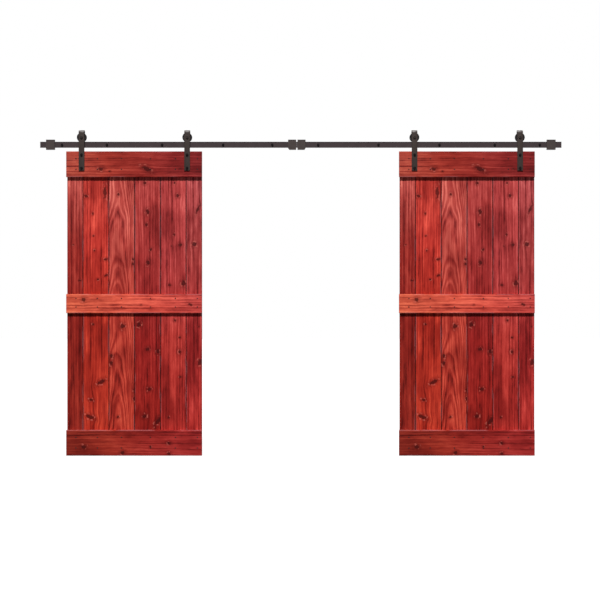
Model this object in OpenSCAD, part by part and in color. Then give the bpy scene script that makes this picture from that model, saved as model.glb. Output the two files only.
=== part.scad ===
// Pair of sliding barn doors hung from one flat wall rail.
// X runs along the rail, +Y points to the wall and +Z points up.
// The origin is on the wall plane, at mid-rail and at the rail's mid-height.

/* [Rail] */
// Length of the whole rail, both halves end to end
rail_len = 3658; // [3000:1:4400]
// Height of the rail's section
rail_h = 42; // [34:1:52]
// Thickness of the rail's section
rail_t = 6; // [5:0.5:8]
// Chamfer on the rail's long edges
rail_edge = 0.8; // [0.4:0.1:1.5]
// Distance of the joint between the two halves from mid-rail
joint_offset = -28; // [-60:1:60]
// Gap between the two halves at the joint
joint_gap = 0.4; // [0.2:0.1:1]
// Radius of the dowel pins in the joint
dowel_r = 1.5; // [1:0.25:2]
// Length of the dowel pins
dowel_l = 30; // [16:1:50]
// Height of each dowel pin above or below the rail's middle
dowel_rise = 12; // [8:1:14]

/* [Wall fixing] */
// Length of the tubes that hold the rail off the wall
spacer_l = 32; // [32:1:60]
// Outer diameter of those tubes
spacer_d = 22; // [18:1:30]
// Distance of the last bolt from each end of the rail
end_bolt_inset = 153; // [130:1:220]
// Distance from the last bolt to its neighbour
end_bolt_pitch = 315; // [200:1:320]
// Distance of the innermost symmetric bolt from mid-rail
mid_bolt_x = 545; // [400:1:600]
// Distance from that bolt to the next one outwards
mid_bolt_pitch = 428; // [300:1:440]
// Distance from the joint to the bolt on its left
joint_bolt_left = 172; // [130:1:220]
// Distance from the joint to the bolt on its right
joint_bolt_right = 150; // [130:1:220]
// Radius of the lag bolts' plain shank
lag_r = 4; // [3.5:0.25:5]
// Radius of the lag bolts' threaded stretch
lag_thread_r = 3.6; // [3:0.1:4.4]
// Length of a lag bolt behind the wall plane
lag_l = 52; // [40:1:80]
// Length of a lag bolt's point
lag_tip = 6; // [4:1:10]
// Size across the flats of the lag bolts' heads
lag_af = 13; // [11:1:16]
// Height of the lag bolts' heads
lag_head_h = 5.2; // [4:0.1:5.5]
// Outer diameter of the washers under those heads
lag_washer_d = 17; // [15:1:20]
// Thickness of those washers
lag_washer_t = 1.6; // [1:0.1:1.8]

/* [Stops] */
// Width of an end stop along the rail
end_stop_w = 61; // [40:1:80]
// Distance of an end stop from the rail's end
end_stop_inset = 42; // [20:1:50]
// Width of a centre stop along the rail
centre_stop_w = 57; // [40:1:80]
// Gap between the two centre stops
centre_stop_gap = 9; // [4:1:20]
// How far a stop reaches past the rail, above and below
stop_lip = 14; // [10:1:16]
// Thickness of a stop's front and back walls
stop_wall = 6.8; // [5:0.1:7]
// Width of the slope on a centre stop's lower outer corner
stop_slope_w = 8; // [4:1:12]
// Chamfer on the stops' other corners
stop_edge = 1.2; // [0.5:0.1:2]
// Radius of the stops' set screws
set_screw_r = 3; // [2:0.5:4]
// Size across the flats of the set screws' sockets
set_screw_socket = 3; // [2:0.5:3.5]
// Depth of those sockets
set_screw_socket_depth = 3; // [2:0.5:4]
// How far a set screw stands out behind its stop
set_screw_proud = 1; // [0:0.5:3]
// Distance of a set screw from its stop's middle
set_screw_x = 15; // [10:1:16]

/* [Doors] */
// Width of a door
door_w = 946; // [780:1:1140]
// Height of a door
door_h = 2134; // [1700:1:2560]
// Gap between the rail's lower edge and a door's top
door_drop = 26.5; // [22:0.5:40]
// Distance of a parked door's outer edge from the rail's end
park_inset = 189; // [160:1:260]
// Thickness of the boards
board_t = 19; // [15:1:23]
// Width of the first and last boards
edge_board_w = 111; // [100:1:140]
// Chamfer on the boards' long edges
board_vee = 1.5; // [0.5:0.25:3]
// Gap between the shoulders of two boards
board_gap = 0.3; // [0.2:0.1:1]
// Thickness of the boards' tongues
tongue_t = 6; // [4:0.5:7]
// How far a tongue reaches into the next board
tongue_l = 7; // [5:0.5:9]
// Thickness of the battens across the front
batten_t = 16; // [13:1:20]
// Height of the top and bottom battens
end_batten_h = 180; // [150:1:220]
// Height of the middle batten
mid_batten_h = 133; // [110:1:160]
// How far a batten reaches past the boards at the left
batten_over = 5; // [0:1:8]
// Chamfer on the battens' front edges
batten_edge = 1.5; // [0.5:0.25:3]

/* [Batten screws] */
// Radius of a screw's head
screw_head_r = 4.5; // [3.5:0.25:5]
// Radius of a screw's shank in the batten
screw_r = 2.2; // [1.8:0.1:2.6]
// Radius of a screw's thread in the board
screw_thread_r = 1.8; // [1.4:0.1:2.2]
// How far a screw stops short of the boards' backs
screw_short = 3; // [2:0.5:6]
// How deep the heads lie below the batten's front
screw_sink = 0.4; // [0.2:0.1:1]
// Size across the flats of the square driver sockets
screw_drive = 2.7; // [2:0.1:3]
// Depth of those sockets
screw_drive_depth = 1.6; // [1:0.1:2]
// Length of a screw's point
screw_tip = 4; // [3:0.5:6]

/* [Hangers] */
// Width of a strap
strap_w = 40; // [34:1:50]
// Thickness of a strap
strap_t = 5; // [4:0.5:7]
// Distance of a strap's middle from the door's edge
strap_inset = 103; // [85:1:125]
// How far a strap reaches down the door
strap_lap = 135; // [125:1:170]
// Chamfer on a strap's lower corners
strap_edge = 1.5; // [0.5:0.5:4]
// Depth of the upper door bolt below the door's top
strap_bolt_z = 23; // [20:1:30]
// Distance between the two door bolts
strap_bolt_pitch = 93; // [75:1:95]
// Radius of the door bolts
door_bolt_r = 5; // [4:0.5:6]
// Size across the flats of the door bolts' heads and nuts
door_bolt_af = 16; // [15:1:19]
// Height of the door bolts' heads
door_bolt_head_h = 6.4; // [5:0.2:8]
// Thickness of the nuts behind the doors
door_nut_h = 5; // [4:0.5:5]
// How far a bolt stands out of its nut
bolt_proud = 1; // [0.5:0.5:1.5]
// Outer diameter of the washers behind the doors
door_washer_d = 24; // [20:1:30]
// Thickness of those washers
door_washer_t = 2; // [1:0.25:2]

/* [Wheels] */
// Radius of a wheel at the bottom of its groove
tread_r = 30; // [26:0.5:40]
// Depth of the groove
groove_depth = 4; // [3:0.5:5]
// Clearance between the groove and each side of the rail
groove_side = 0.5; // [0.3:0.1:1]
// How much each side of the groove opens outwards
groove_flare = 1.2; // [0.5:0.1:2]
// Thickness of each flange at the groove's bottom
flange_w = 6.5; // [6:0.25:9]
// Running gap between the tread and the rail's top
tread_gap = 0.3; // [0.2:0.05:0.5]
// Gap between a wheel's face and the strap's leg
leg_gap = 3; // [2.5:0.5:6]
// How far below the wheel's top the strap's bend begins
bend_drop = 2; // [0:0.5:4]
// Depth of the ring-shaped recess in a wheel's faces
face_recess = 1.5; // [0.5:0.25:2]
// Radius of the axle bolts
axle_r = 5; // [4:0.5:6]
// Diameter of the axle bolts' round heads
axle_head_d = 20; // [17:1:26]
// Height of the axle bolts' heads
axle_head_h = 5; // [4:0.5:7]
// Height of the slope round an axle bolt's head
axle_head_edge = 1.2; // [0.5:0.1:2]
// Size across the flats of the sockets in those heads
axle_socket = 6; // [5:0.5:8]
// Depth of those sockets
axle_socket_depth = 3; // [2:0.5:3.5]
// Height of the axle nuts
axle_nut_h = 7; // [5:0.5:7]
// Outer radius of a bearing
bearing_r = 13; // [12.5:0.25:15]
// Width of a bearing
bearing_w = 8; // [7:0.5:10]
// Number of balls in a bearing
ball_count = 8; // [6:1:9]
// Radius of a ball
ball_r = 2.3; // [2:0.1:2.4]
// Clearance between a ball and its grooves
ball_clear = 0.1; // [0.05:0.05:0.2]
// Thickness of a bearing's inner and outer rings
ring_t = 2.2; // [2:0.1:2.4]
// Width of the lip behind the bearing in a wheel's bore
bearing_lip = 1.5; // [1:0.25:2]
// Width of the flat ring between the bearing and the recess in a wheel's faces
face_rim_in = 4; // [3:0.5:5]
// Distance of that recess from the tread's radius
face_rim_out = 3; // [2:0.5:4]
// Chamfer on a wheel's outer edges
wheel_edge = 1; // [0.5:0.25:2]

/* [Clearances] */
// Radial clearance of bolts in plain holes
hole_clear = 0.3; // [0.2:0.05:0.5]
// Clearance of pieces that slide over each other when fitted
slip = 0.2; // [0.1:0.05:0.4]
// Radial clearance of pressed and threaded fits
fit_clear = 0.04; // [0.02:0.01:0.08]

/* [Hidden] */
// Round pieces are true curves at this setting
$fn = 48;
// Stretch by which two bars of one bolt run into each other, and by which cuts pass a face
join = 0.5;
over = 1;
// Share of a hexagon's flats that its round chamfer leaves whole
head_face = 0.96;
// Radius that a screw's point ends in
tip_r = 0.4;

// Places across the thickness, from the wall outwards
rail_back = -spacer_l;
rail_front = rail_back - rail_t;
rail_mid = (rail_front + rail_back) / 2;
groove_w = rail_t + 2 * groove_side;
wheel_w = groove_w + 2 * flange_w;
bend_in_r = wheel_w / 2 + leg_gap;
bend_out_r = bend_in_r + strap_t;
strap_front = rail_mid - bend_out_r;
batten_front = rail_mid - bend_in_r;
board_front = batten_front + batten_t;
board_back = board_front + board_t;
board_mid = (board_front + board_back) / 2;
rear_leg_front = rail_mid + bend_in_r;
rear_leg_back = rail_mid + bend_out_r;

// Heights
rail_top = rail_h / 2;
wheel_r = tread_r + groove_depth;
wheel_z = rail_top + tread_gap + tread_r;
bend_z = wheel_z + wheel_r - bend_drop;
door_top = -rail_h / 2 - door_drop;
strap_bottom = door_top - strap_lap;
strap_bolt_heights = [door_top - strap_bolt_z, door_top - strap_bolt_z - strap_bolt_pitch];

// Places along the rail
rail_end = rail_len / 2;
stop_d = rail_t + 2 * slip + 2 * stop_wall;
stop_h = rail_h + 2 * stop_lip;
symmetric_bolts = [
  rail_end - end_bolt_inset,
  rail_end - end_bolt_inset - end_bolt_pitch,
  mid_bolt_x + mid_bolt_pitch,
  mid_bolt_x
];
left_bolts = concat([for (x = symmetric_bolts) -x], [joint_offset - joint_bolt_left]);
right_bolts = concat(symmetric_bolts, [joint_offset + joint_bolt_right]);
wall_bolt_places = concat(left_bolts, right_bolts);

// Boards, counted from a door's left edge
board_count = 6;
mid_board_w = (door_w - 2 * edge_board_w) / (board_count - 2);
function board_x(i) = i == 0 ? 0 : i == board_count ? door_w : edge_board_w + (i - 1) * mid_board_w;
// The screws were driven by hand, each a little off its board's middle
screw_shift = [8, 12, 0, 22, 16, 24];
screw_places = [for (i = [0:board_count - 1]) (board_x(i) + board_x(i + 1)) / 2 + screw_shift[i]];
// Screw rows below the top edge of their batten
end_batten_rows = [52, 126];
mid_batten_rows = [31, 91];
top_batten_z = door_top - end_batten_h;
mid_batten_z = door_top - (door_h + mid_batten_h) / 2;
bottom_batten_z = door_top - door_h;
screw_heights = concat(
  [for (d = end_batten_rows) top_batten_z + end_batten_h - d],
  [for (d = mid_batten_rows) mid_batten_z + mid_batten_h - d],
  [for (d = end_batten_rows) bottom_batten_z + end_batten_h - d]
);

// Bearing section
ball_path_r = (axle_r + fit_clear + bearing_r) / 2;
sleeve_r = axle_r + fit_clear + ring_t;
bearing_front = rail_mid - bearing_w / 2;

sides = ["left", "right"];
places = ["outer", "inner"];
door_pieces = concat(
  [for (i = [1:board_count]) str("board_", i)],
  ["top_batten", "middle_batten", "bottom_batten", "batten_screws"],
  [for (p = places) str(p, "_hanger")],
  ["hanger_bolts", "hanger_washers", "hanger_nuts"],
  ["axle_bolts", "axle_sleeves", "axle_nuts", "bearing_inner_rings", "bearing_balls"]
);

function door_x(side) = side == "left" ? park_inset - rail_end : rail_end - park_inset - door_w;
function hanger_x(side, place) =
  (side == "left") == (place == "outer") ? strap_inset : door_w - strap_inset;
hanger_places = [strap_inset, door_w - strap_inset];
function hex_r(af) = af / 2 / cos(30);

// ---------- helpers ----------

// Puts what is drawn along +Z on an axis that runs back to the wall
module facing_wall(x, y, z) {
  translate([x, y, z]) rotate([-90, 0, 0]) children();
}

// A plain round bar from y0 to y1
module bar(x, z, y0, y1, r) {
  facing_wall(x, y0, z) cylinder(h = y1 - y0, r = r);
}

// A hole that runs a little past both faces
module bore(x, z, y0, y1, r) {
  bar(x, z, y0 - over, y1 + over, r);
}

// A ring from y0 to y1
module ring(x, z, y0, y1, r_out, r_in) {
  difference() {
    bar(x, z, y0, y1, r_out);
    bore(x, z, y0, y1, r_in);
  }
}

// A hexagonal head whose outer corners are turned to a chamfer
module hex_head(x, z, y_front, h, af) {
  facing_wall(x, y_front, z) intersection() {
    cylinder(h = h, r = hex_r(af), $fn = 6);
    cylinder(h = h, r1 = af / 2 * head_face, r2 = af / 2 * head_face + h);
  }
}

module on_door(side) {
  translate([door_x(side), 0, 0]) children();
}

// ---------- track ----------

module rail_half(x0, x1, bolts) {
  e = rail_edge;
  difference() {
    translate([x0, 0, 0]) rotate([90, 0, 90]) linear_extrude(height = x1 - x0) polygon([
      [rail_front + e, -rail_top], [rail_back - e, -rail_top],
      [rail_back, -rail_top + e], [rail_back, rail_top - e],
      [rail_back - e, rail_top], [rail_front + e, rail_top],
      [rail_front, rail_top - e], [rail_front, -rail_top + e]
    ]);
    for (x = bolts) bore(x, 0, rail_front, rail_back, lag_r + hole_clear);
    for (z = [-dowel_rise, dowel_rise]) dowel(z, dowel_l + 2 * slip, dowel_r + fit_clear);
  }
}

module dowel(z, length, r) {
  translate([joint_offset - length / 2, rail_mid, z]) rotate([0, 90, 0]) cylinder(h = length, r = r);
}

module rail_left() {
  color("#4b3e40") rail_half(-rail_end, joint_offset - joint_gap / 2, left_bolts);
}

module rail_right() {
  color("#4b3e40") rail_half(joint_offset + joint_gap / 2, rail_end, right_bolts);
}

module rail_dowels() {
  color("#8a8a8c") for (z = [-dowel_rise, dowel_rise]) dowel(z, dowel_l, dowel_r);
}

module wall_spacers() {
  color("#453a3a") for (x = wall_bolt_places) ring(x, 0, rail_back, 0, spacer_d / 2, lag_r + hole_clear);
}

module wall_washers() {
  y = rail_front - lag_washer_t;
  color("#2c2426") for (x = wall_bolt_places) ring(x, 0, y, rail_front, lag_washer_d / 2, lag_r + hole_clear);
}

module wall_bolts() {
  head_back = rail_front - lag_washer_t;
  color("#1d1518") for (x = wall_bolt_places) union() {
    hex_head(x, 0, head_back - lag_head_h, lag_head_h, lag_af);
    bar(x, 0, head_back - join, 0, lag_r);
    bar(x, 0, -join, lag_l - lag_tip, lag_thread_r);
    facing_wall(x, lag_l - lag_tip, 0) cylinder(h = lag_tip, r1 = lag_thread_r, r2 = tip_r);
  }
}

// A clamp block that slips over the rail; slope_at is -1, 0 or 1 for the sloped lower corner's side
module rail_stop(x, w, slope_at) {
  e = stop_edge;
  left_w = slope_at == -1 ? stop_slope_w : e;
  left_h = slope_at == -1 ? stop_lip - e : e;
  right_w = slope_at == 1 ? stop_slope_w : e;
  right_h = slope_at == 1 ? stop_lip - e : e;
  difference() {
    translate([x, rail_mid + stop_d / 2, 0]) rotate([90, 0, 0]) linear_extrude(height = stop_d) polygon([
      [-w / 2 + left_w, -stop_h / 2], [w / 2 - right_w, -stop_h / 2],
      [w / 2, -stop_h / 2 + right_h], [w / 2, stop_h / 2 - e],
      [w / 2 - e, stop_h / 2], [-w / 2 + e, stop_h / 2],
      [-w / 2, stop_h / 2 - e], [-w / 2, -stop_h / 2 + left_h]
    ]);
    translate([x - w / 2 - over, rail_front - slip, -rail_top - slip])
      cube([w + 2 * over, rail_t + 2 * slip, rail_h + 2 * slip]);
    for (side = [-1, 1])
      bore(x + side * set_screw_x, 0, rail_mid, rail_mid + stop_d / 2, set_screw_r + fit_clear);
  }
}

end_stop_x = rail_end - end_stop_inset - end_stop_w / 2;
centre_stop_x = (centre_stop_gap + centre_stop_w) / 2;
stop_places = [-end_stop_x, joint_offset - centre_stop_x, joint_offset + centre_stop_x, end_stop_x];

module left_end_stop() {
  color("#514643") rail_stop(stop_places[0], end_stop_w, 0);
}

module left_centre_stop() {
  color("#524345") rail_stop(stop_places[1], centre_stop_w, -1);
}

module right_centre_stop() {
  color("#4c3e42") rail_stop(stop_places[2], centre_stop_w, 1);
}

module right_end_stop() {
  color("#514643") rail_stop(stop_places[3], end_stop_w, 0);
}

// Set screws that press on the rail's back through the stops' rear walls
module stop_screws() {
  y_end = rail_mid + stop_d / 2 + set_screw_proud;
  color("#1d1a1c") for (x = stop_places) for (side = [-1, 1]) difference() {
    bar(x + side * set_screw_x, 0, rail_back, y_end, set_screw_r);
    facing_wall(x + side * set_screw_x, y_end - set_screw_socket_depth, 0)
      cylinder(h = set_screw_socket_depth + over, r = hex_r(set_screw_socket), $fn = 6);
  }
}

// ---------- doors ----------

function board_outline(i) =
  let (
    x0 = board_x(i),
    x1 = board_x(i + 1) - (i < board_count - 1 ? board_gap : 0),
    v = board_vee,
    groove_t = tongue_t + 2 * slip,
    groove_d = tongue_l + slip
  )
  concat(
    [[x0 + v, board_front], [x0, board_front + v]],
    i == 0 ? [] : [
      [x0, board_mid - groove_t / 2], [x0 + groove_d, board_mid - groove_t / 2],
      [x0 + groove_d, board_mid + groove_t / 2], [x0, board_mid + groove_t / 2]
    ],
    [[x0, board_back - v], [x0 + v, board_back], [x1 - v, board_back], [x1, board_back - v]],
    i == board_count - 1 ? [] : [
      [x1, board_mid + tongue_t / 2], [x1 + tongue_l, board_mid + tongue_t / 2],
      [x1 + tongue_l, board_mid - tongue_t / 2], [x1, board_mid - tongue_t / 2]
    ],
    [[x1, board_front + v], [x1 - v, board_front]]
  );

// Bolt holes that fall on the stretch from x0 to x1
module door_bolt_holes(x0, x1, y0, y1) {
  r = door_bolt_r + hole_clear;
  for (x = hanger_places) if (x + r > x0 && x - r < x1)
    for (z = strap_bolt_heights) bore(x, z, y0, y1, r);
}

board_colours = ["#a43a34", "#b8382c", "#ac433b", "#9a3231", "#a8413f", "#9d3c3c"];

module board(i) {
  color(board_colours[i]) difference() {
    translate([0, 0, door_top - door_h]) linear_extrude(height = door_h) polygon(board_outline(i));
    door_bolt_holes(board_x(i), board_x(i + 1) + tongue_l, board_front, board_back);
    for (z = screw_heights)
      bar(screw_places[i], z, board_front - over, board_back - screw_short + slip,
          screw_thread_r + fit_clear);
  }
}

// A batten with its lower edge at z0, and its own screw rows
module batten(z0, h, rows) {
  e = batten_edge;
  head_d = screw_head_r + screw_sink - screw_r;
  difference() {
    translate([-batten_over, 0, z0]) rotate([90, 0, 90])
      linear_extrude(height = door_w + batten_over) polygon([
        [batten_front + e, 0], [board_front, 0], [board_front, h],
        [batten_front + e, h], [batten_front, h - e], [batten_front, e]
      ]);
    for (x = screw_places) for (d = rows) {
      bore(x, z0 + h - d, batten_front, board_front, screw_r + slip);
      facing_wall(x, batten_front - slip, z0 + h - d)
        cylinder(h = head_d + slip, r1 = screw_head_r + screw_sink + 2 * slip, r2 = screw_r + slip);
    }
    if (z0 == top_batten_z) door_bolt_holes(0, door_w, batten_front, board_front);
  }
}

module top_batten() {
  color("#93342c") batten(top_batten_z, end_batten_h, end_batten_rows);
}

module middle_batten() {
  color("#c85243") batten(mid_batten_z, mid_batten_h, mid_batten_rows);
}

module bottom_batten() {
  color("#8f2b24") batten(bottom_batten_z, end_batten_h, end_batten_rows);
}

module batten_screw(x, z) {
  y0 = batten_front + screw_sink;
  y_tip = board_back - screw_short;
  difference() {
    union() {
      facing_wall(x, y0, z) cylinder(h = screw_head_r - screw_r, r1 = screw_head_r, r2 = screw_r);
      bar(x, z, y0 + join, board_front, screw_r);
      bar(x, z, board_front - join, y_tip - screw_tip, screw_thread_r);
      facing_wall(x, y_tip - screw_tip, z) cylinder(h = screw_tip, r1 = screw_thread_r, r2 = tip_r);
    }
    facing_wall(x, y0 - over, z) cylinder(h = screw_drive_depth + over, r = screw_drive / sqrt(2), $fn = 4);
  }
}

module batten_screws() {
  color("#3a1414") for (x = screw_places) for (z = screw_heights) batten_screw(x, z);
}

// ---------- hangers ----------

// Half a ring over the wheel, seen along the rail
module bend_section() {
  translate([rail_mid, bend_z]) intersection() {
    difference() {
      circle(r = bend_out_r);
      circle(r = bend_in_r);
    }
    translate([-bend_out_r - over, 0]) square([2 * (bend_out_r + over), bend_out_r + over]);
  }
}

// A flat strap bent over the wheel: long leg on the door, short leg behind the wheel
module hanger(x) {
  e = strap_edge;
  half = strap_w / 2;
  difference() {
    union() {
      translate([x - half, 0, 0]) rotate([90, 0, 90]) linear_extrude(height = strap_w) bend_section();
      translate([x, strap_front + strap_t, 0]) rotate([90, 0, 0]) linear_extrude(height = strap_t) polygon([
        [-half + e, strap_bottom], [half - e, strap_bottom], [half, strap_bottom + e],
        [half, bend_z], [-half, bend_z], [-half, strap_bottom + e]
      ]);
      translate([x, rear_leg_back, 0]) rotate([90, 0, 0]) linear_extrude(height = strap_t) union() {
        translate([0, wheel_z]) circle(r = half);
        translate([-half, wheel_z]) square([strap_w, bend_z - wheel_z]);
      }
    }
    bore(x, wheel_z, strap_front, rear_leg_back, axle_r + hole_clear);
    for (z = strap_bolt_heights)
      bore(x, z, strap_front, strap_front + strap_t, door_bolt_r + hole_clear);
  }
}

module hanger_at(side, place) {
  color("#43372f") hanger(hanger_x(side, place));
}

module hanger_bolts() {
  y_end = board_back + door_washer_t + door_nut_h + bolt_proud;
  color("#141112") for (x = hanger_places) for (z = strap_bolt_heights) union() {
    hex_head(x, z, strap_front - door_bolt_head_h, door_bolt_head_h, door_bolt_af);
    bar(x, z, strap_front - join, y_end, door_bolt_r);
  }
}

module hanger_washers() {
  y = board_back;
  color("#2c2426") for (x = hanger_places) for (z = strap_bolt_heights)
    ring(x, z, y, y + door_washer_t, door_washer_d / 2, door_bolt_r + hole_clear);
}

// A six-sided nut on a bolt of radius r
module nut(x, z, y, h, r) {
  difference() {
    facing_wall(x, y, z) cylinder(h = h, r = hex_r(door_bolt_af), $fn = 6);
    bore(x, z, y, y + h, r + fit_clear);
  }
}

module hanger_nuts() {
  y = board_back + door_washer_t;
  color("#1d1a1c") for (x = hanger_places) for (z = strap_bolt_heights) nut(x, z, y, door_nut_h, door_bolt_r);
}

// ---------- axles, bearings and wheels ----------

module axle_bolts() {
  y_end = rear_leg_back + axle_nut_h + bolt_proud;
  y_head = strap_front - axle_head_h;
  e = axle_head_edge;
  color("#241a1d") for (x = hanger_places) difference() {
    union() {
      facing_wall(x, y_head, wheel_z) cylinder(h = e, r1 = axle_head_d / 2 - e, r2 = axle_head_d / 2);
      bar(x, wheel_z, y_head + e, strap_front, axle_head_d / 2);
      bar(x, wheel_z, strap_front - join, y_end, axle_r);
    }
    facing_wall(x, y_head - over, wheel_z)
      cylinder(h = axle_socket_depth + over, r = hex_r(axle_socket), $fn = 6);
  }
}

module axle_nuts() {
  color("#1d1a1c") for (x = hanger_places) nut(x, wheel_z, rear_leg_back, axle_nut_h, axle_r);
}

// Tubes that hold the bearing midway between the strap's legs
module axle_sleeves() {
  color("#5a5456") for (x = hanger_places) {
    ring(x, wheel_z, batten_front, bearing_front, sleeve_r, axle_r + fit_clear);
    ring(x, wheel_z, bearing_front + bearing_w, rear_leg_front, sleeve_r, axle_r + fit_clear);
  }
}

// A bearing ring with its ball groove, turned about the axle
module bearing_ring(x, r_in, r_out) {
  facing_wall(x, bearing_front, wheel_z) rotate_extrude() difference() {
    translate([r_in, 0]) square([r_out - r_in, bearing_w]);
    translate([ball_path_r, bearing_w / 2]) circle(r = ball_r + ball_clear);
  }
}

module bearing_inner_rings() {
  color("#8c8c90") for (x = hanger_places) bearing_ring(x, axle_r + fit_clear, sleeve_r);
}

module bearing_balls() {
  color("#b4b4b8") for (x = hanger_places) for (i = [0:ball_count - 1])
    facing_wall(x, rail_mid, wheel_z) rotate([0, 0, i * 360 / ball_count])
      translate([ball_path_r, 0, 0]) sphere(r = ball_r);
}

module wheel_bearing_ring(side, place) {
  color("#8c8c90") bearing_ring(hanger_x(side, place), bearing_r - ring_t, bearing_r);
}

// A turned wheel: groove over the rail, bearing seat with a lip behind it
module wheel(side, place) {
  rim = wheel_w / 2;
  edge = wheel_edge;
  web_in = bearing_r + face_rim_in;
  web_out = tread_r - face_rim_out;
  mouth = groove_w / 2 + groove_flare;
  lip_r = bearing_r - bearing_lip;
  seat_r = bearing_r + fit_clear;
  d = face_recess;
  color("#2a2225") facing_wall(hanger_x(side, place), rail_mid, wheel_z) rotate_extrude() polygon([
    [seat_r, -rim], [web_in, -rim], [web_in + d, -rim + d], [web_out - d, -rim + d],
    [web_out, -rim], [wheel_r - edge, -rim], [wheel_r, -rim + edge], [wheel_r, -mouth],
    [tread_r, -groove_w / 2], [tread_r, groove_w / 2],
    [wheel_r, mouth], [wheel_r, rim - edge], [wheel_r - edge, rim], [web_out, rim],
    [web_out - d, rim - d], [web_in + d, rim - d], [web_in, rim], [lip_r, rim],
    [lip_r, bearing_w / 2], [seat_r, bearing_w / 2]
  ]);
}

// ---------- what is drawn ----------

rail_left();
rail_right();
rail_dowels();
wall_spacers();
wall_washers();
wall_bolts();
left_end_stop();
right_end_stop();
left_centre_stop();
right_centre_stop();
stop_screws();

for (s = sides) on_door(s) {
  for (i = [0:board_count - 1]) board(i);
  top_batten();
  middle_batten();
  bottom_batten();
  batten_screws();
  hanger_bolts();
  hanger_washers();
  hanger_nuts();
  axle_bolts();
  axle_sleeves();
  axle_nuts();
  bearing_inner_rings();
  bearing_balls();
  for (p = places) {
    hanger_at(s, p);
    wheel(s, p);
    wheel_bearing_ring(s, p);
  }
}
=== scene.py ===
"""The finished look of a pair of sliding barn doors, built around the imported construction."""
import math
from functools import partial

import bmesh
import bpy
from bpy.props import FloatProperty, FloatVectorProperty, PointerProperty
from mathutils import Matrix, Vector


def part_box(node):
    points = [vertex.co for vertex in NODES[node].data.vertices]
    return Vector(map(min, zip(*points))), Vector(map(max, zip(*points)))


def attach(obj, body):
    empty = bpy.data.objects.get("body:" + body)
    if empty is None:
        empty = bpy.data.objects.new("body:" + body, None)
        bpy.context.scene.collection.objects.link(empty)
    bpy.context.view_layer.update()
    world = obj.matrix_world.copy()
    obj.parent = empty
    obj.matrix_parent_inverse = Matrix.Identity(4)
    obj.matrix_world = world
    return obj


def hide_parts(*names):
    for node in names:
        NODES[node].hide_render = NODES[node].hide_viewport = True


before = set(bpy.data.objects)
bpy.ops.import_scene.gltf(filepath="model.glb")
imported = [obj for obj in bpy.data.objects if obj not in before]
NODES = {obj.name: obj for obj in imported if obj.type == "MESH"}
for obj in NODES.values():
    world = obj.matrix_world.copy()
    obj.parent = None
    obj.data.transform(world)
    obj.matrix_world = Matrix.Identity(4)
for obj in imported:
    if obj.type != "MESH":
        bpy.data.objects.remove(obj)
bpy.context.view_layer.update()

bl_info = {
    "name": "Sliding barn door",
    "version": (1, 0, 0),
    "blender": (4, 5, 0),
    "location": "3D View > Sidebar > Barn door",
    "description": "Models and finishes a pair of stained board doors on a flat wall rail",
    "category": "Object",
}

MM = 0.001
SIDES = ("left", "right")
PLACES = ("outer", "inner")


def linear(code):
    """An sRGB hex colour as linear RGBA."""
    channels = [int(code[i:i + 2], 16) / 255 for i in (1, 3, 5)]
    return [c / 12.92 if c <= 0.04045 else ((c + 0.055) / 1.055) ** 2.4 for c in channels] + [1.0]


# ---------------------------------------------------------------- sizes read from the construction

DOOR_LOW = {side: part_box(f"{side}_board_1")[0] for side in SIDES}
DOOR_HIGH = {side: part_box(f"{side}_board_6")[1] for side in SIDES}
BOARD_BOXES = {i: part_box(f"left_board_{i}") for i in range(1, 7)}
BATTEN_BOXES = {name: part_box(f"left_{name}_batten") for name in ("top", "middle", "bottom")}
RAIL_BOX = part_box("rail_left")[0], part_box("rail_right")[1]
RAIL_MID_Y = (RAIL_BOX[0].y + RAIL_BOX[1].y) / 2
DOOR_SHIFT = Vector((DOOR_LOW["right"].x - DOOR_LOW["left"].x, 0, 0))
DOOR_TOP = DOOR_HIGH["left"].z
DOOR_BOTTOM = DOOR_LOW["left"].z


# ---------------------------------------------------------------- what a user may change

class WoodSettings(bpy.types.PropertyGroup):
    edge: FloatProperty(
        name="Eased edge", description="Width of the slope along the boards' and battens' edges",
        default=1.8 * MM, min=0.2 * MM, max=4 * MM, unit="LENGTH")
    joint: FloatProperty(
        name="Joint gap", description="Width of the open line between two boards",
        default=1.2 * MM, min=0.3 * MM, max=3 * MM, unit="LENGTH")
    relief: FloatProperty(
        name="Relief", description="How deep the sawn and sanded surface dips",
        default=0.7 * MM, min=0, max=1.5 * MM, unit="LENGTH")
    step: FloatProperty(
        name="Mesh step", description="Distance between the points of a board's faces",
        default=9 * MM, min=5 * MM, max=40 * MM, unit="LENGTH")
    knot: FloatVectorProperty(
        name="Knot", description="Colour of the stained knots",
        subtype="COLOR", size=4, default=linear("#380707"), min=0, max=1)


class SteelSettings(bpy.types.PropertyGroup):
    rail: FloatVectorProperty(
        name="Rail coat", description="Colour of the coat on the rail and its spacers",
        subtype="COLOR", size=4, default=linear("#372b2d"), min=0, max=1)
    stop: FloatVectorProperty(
        name="Stop coat", description="Colour of the coat on the stops",
        subtype="COLOR", size=4, default=linear("#3f3533"), min=0, max=1)
    strap: FloatVectorProperty(
        name="Strap coat", description="Colour of the coat on the hangers' straps",
        subtype="COLOR", size=4, default=linear("#332824"), min=0, max=1)
    wheel: FloatVectorProperty(
        name="Wheel coat", description="Colour of the coat on the wheels",
        subtype="COLOR", size=4, default=linear("#171112"), min=0, max=1)
    fastener: FloatVectorProperty(
        name="Fasteners", description="Colour of the black oxide on bolts, nuts and screws",
        subtype="COLOR", size=4, default=linear("#151012"), min=0, max=1)


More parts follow.
